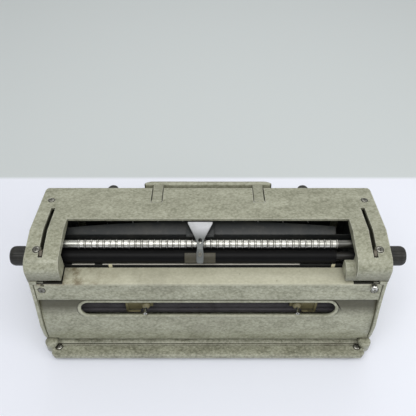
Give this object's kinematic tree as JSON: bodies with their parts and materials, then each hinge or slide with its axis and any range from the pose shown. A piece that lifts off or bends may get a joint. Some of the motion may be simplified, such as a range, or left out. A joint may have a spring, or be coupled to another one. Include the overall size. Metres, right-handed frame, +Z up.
{
  "type": "manual braille writer",
  "caption": "Desk braille writer: cast casing open at the rear for paper, ringed feed roller, sliding embossing carriage, side knobs, margin stops, front keys and folding handle.",
  "frame": {"origin": "on the table under the middle of the machine, halfway between the front of the space key and the rear edge of the flange", "axes": "+X to the user's right along the line of braille, +Y away from the user towards the paper side, +Z up"},
  "size_m": [0.399, 0.229, 0.1425],
  "materials": {
    "hammertone": "grey-green hammered enamel, slightly glossy",
    "light_alloy": "cast light alloy, lightly brushed",
    "steel": "bright machined steel",
    "dark_metal": "dark grey satin finish",
    "rubber": "matt black rubber",
    "dark_plastic": "dark grey moulded plastic",
    "chrome": "plated steel",
    "cream_metal": "cream enamel on pressed steel",
    "brass": "dull brass",
    "lever_metal": "grey-brown satin metal"
  },
  "bodies": {
    "casing": {"base_plate": "hammertone", "rubber_feet": "rubber", "side_frame_right": "hammertone", "side_frame_left": "hammertone", "top_cover": "hammertone", "rear_panel": "hammertone", "front_panel": "hammertone", "casing_screws": "steel", "rear_stud": "chrome", "handle_pins": "steel", "handle_brackets": "dark_metal", "bearing_plates": "dark_metal", "paper_guide": "dark_metal", "release_shaft": "steel", "carriage_rail": "steel", "spacing_rack": "steel", "margin_rail": "dark_metal", "margin_rack": "dark_metal", "bell_post": "dark_metal", "bell_gong": "chrome", "key_shaft": "steel", "key_springs": "steel", "key_comb": "dark_metal"},
    "handle": {"handle_grip": "hammertone", "handle_arms": "hammertone"},
    "feed": {"feed_roller": "rubber", "feed_shaft": "steel", "feed_knob_right": "dark_plastic", "feed_knob_left": "dark_plastic", "feed_ratchet": "brass"},
    "pressure": {"ringed_roller": "chrome"},
    "pawl": {"feed_pawl": "steel"},
    "release_right": {"release_lever_right": "lever_metal"},
    "release_left": {"release_lever_left": "lever_metal"},
    "carriage": {"carriage_block": "dark_metal", "head_pin": "steel"},
    "head": {"head_arm": "light_alloy", "head_plate": "lever_metal", "head_screw": "steel"},
    "stop_right": {"margin_stop_right": "cream_metal"},
    "stop_left": {"margin_stop_left": "cream_metal"},
    "clapper": {"bell_clapper": "brass"},
    "key_line_feed": {"lever_line_feed": "steel", "cap_line_feed": "dark_plastic"},
    "key_dot_3": {"lever_dot_3": "steel", "cap_dot_3": "dark_plastic"},
    "key_dot_2": {"lever_dot_2": "steel", "cap_dot_2": "dark_plastic"},
    "key_dot_1": {"lever_dot_1": "steel", "cap_dot_1": "dark_plastic"},
    "key_space": {"lever_space": "steel", "cap_space": "dark_plastic"},
    "key_dot_4": {"lever_dot_4": "steel", "cap_dot_4": "dark_plastic"},
    "key_dot_5": {"lever_dot_5": "steel", "cap_dot_5": "dark_plastic"},
    "key_dot_6": {"lever_dot_6": "steel", "cap_dot_6": "dark_plastic"},
    "key_backspace": {"lever_backspace": "steel", "cap_backspace": "dark_plastic"}
  },
  "joints": [
    {"name": "handle_swing", "type": "hinge", "parent": "casing", "child": "handle", "pos_m": [0, -0.004, 0.13053], "axis": [-1, 0, 0], "range_deg": [0, 95]},
    {"name": "feed_turn", "type": "hinge", "parent": "casing", "child": "feed", "pos_m": [0, 0.0575, 0.117], "axis": [1, 0, 0], "continuous": true},
    {"name": "pressure_turn", "type": "hinge", "parent": "casing", "child": "pressure", "pos_m": [0, 0.0505, 0.1275], "axis": [1, 0, 0], "continuous": true},
    {"name": "pawl_lift", "type": "hinge", "parent": "casing", "child": "pawl", "pos_m": [-0.156, 0.074, 0.124], "axis": [-1, 0, 0], "range_deg": [0, 15], "stiffness_Nm_per_rad": 0.02, "springref_deg": -17.19},
    {"name": "release_right_swing", "type": "hinge", "parent": "casing", "child": "release_right", "pos_m": [0, 0.042, 0.092], "axis": [1, 0, 0], "range_deg": [0, 61]},
    {"name": "release_left_swing", "type": "hinge", "parent": "casing", "child": "release_left", "pos_m": [0, 0.042, 0.092], "axis": [1, 0, 0], "range_deg": [0, 61]},
    {"name": "carriage_slide", "type": "slide", "parent": "casing", "child": "carriage", "axis": [1, 0, 0], "range_m": [-0.135, 0.119]},
    {"name": "head_rock", "type": "hinge", "parent": "carriage", "child": "head", "pos_m": [0.008, 0.042, 0.1323], "axis": [1, 0, 0], "range_deg": [0, 6], "stiffness_Nm_per_rad": 0.5, "springref_deg": -2.86},
    {"name": "stop_right_slide", "type": "slide", "parent": "casing", "child": "stop_right", "axis": [1, 0, 0], "range_m": [-0.053, 0.038]},
    {"name": "stop_left_slide", "type": "slide", "parent": "casing", "child": "stop_left", "axis": [1, 0, 0], "range_m": [-0.016, 0.081]},
    {"name": "clapper_swing", "type": "hinge", "parent": "casing", "child": "clapper", "pos_m": [0.015, 0.057, 0.022], "axis": [0, 1, 0], "range_deg": [-14, 2], "stiffness_Nm_per_rad": 0.02},
    {"name": "press_line_feed", "type": "hinge", "parent": "casing", "child": "key_line_feed", "pos_m": [0, 0.012, 0.062], "axis": [1, 0, 0], "range_deg": [0, 3.31], "stiffness_Nm_per_rad": 0.8, "springref_deg": -6.88},
    {"name": "press_dot_3", "type": "hinge", "parent": "casing", "child": "key_dot_3", "pos_m": [0, 0.012, 0.062], "axis": [1, 0, 0], "range_deg": [0, 3.31], "stiffness_Nm_per_rad": 0.8, "springref_deg": -6.88},
    {"name": "press_dot_2", "type": "hinge", "parent": "casing", "child": "key_dot_2", "pos_m": [0, 0.012, 0.062], "axis": [1, 0, 0], "range_deg": [0, 3.31], "stiffness_Nm_per_rad": 0.8, "springref_deg": -6.88},
    {"name": "press_dot_1", "type": "hinge", "parent": "casing", "child": "key_dot_1", "pos_m": [0, 0.012, 0.062], "axis": [1, 0, 0], "range_deg": [0, 3.31], "stiffness_Nm_per_rad": 0.8, "springref_deg": -6.88},
    {"name": "press_space", "type": "hinge", "parent": "casing", "child": "key_space", "pos_m": [0, 0.012, 0.062], "axis": [1, 0, 0], "range_deg": [0, 3.31], "stiffness_Nm_per_rad": 0.8, "springref_deg": -6.88},
    {"name": "press_dot_4", "type": "hinge", "parent": "casing", "child": "key_dot_4", "pos_m": [0, 0.012, 0.062], "axis": [1, 0, 0], "range_deg": [0, 3.31], "stiffness_Nm_per_rad": 0.8, "springref_deg": -6.88},
    {"name": "press_dot_5", "type": "hinge", "parent": "casing", "child": "key_dot_5", "pos_m": [0, 0.012, 0.062], "axis": [1, 0, 0], "range_deg": [0, 3.31], "stiffness_Nm_per_rad": 0.8, "springref_deg": -6.88},
    {"name": "press_dot_6", "type": "hinge", "parent": "casing", "child": "key_dot_6", "pos_m": [0, 0.012, 0.062], "axis": [1, 0, 0], "range_deg": [0, 3.31], "stiffness_Nm_per_rad": 0.8, "springref_deg": -6.88},
    {"name": "press_backspace", "type": "hinge", "parent": "casing", "child": "key_backspace", "pos_m": [0, 0.012, 0.062], "axis": [1, 0, 0], "range_deg": [0, 3.31], "stiffness_Nm_per_rad": 0.8, "springref_deg": -6.88}
  ],
  "couplings": [
    {"joint": "pressure_turn", "follows": "feed_turn", "ratio": -1.5}
  ]
}
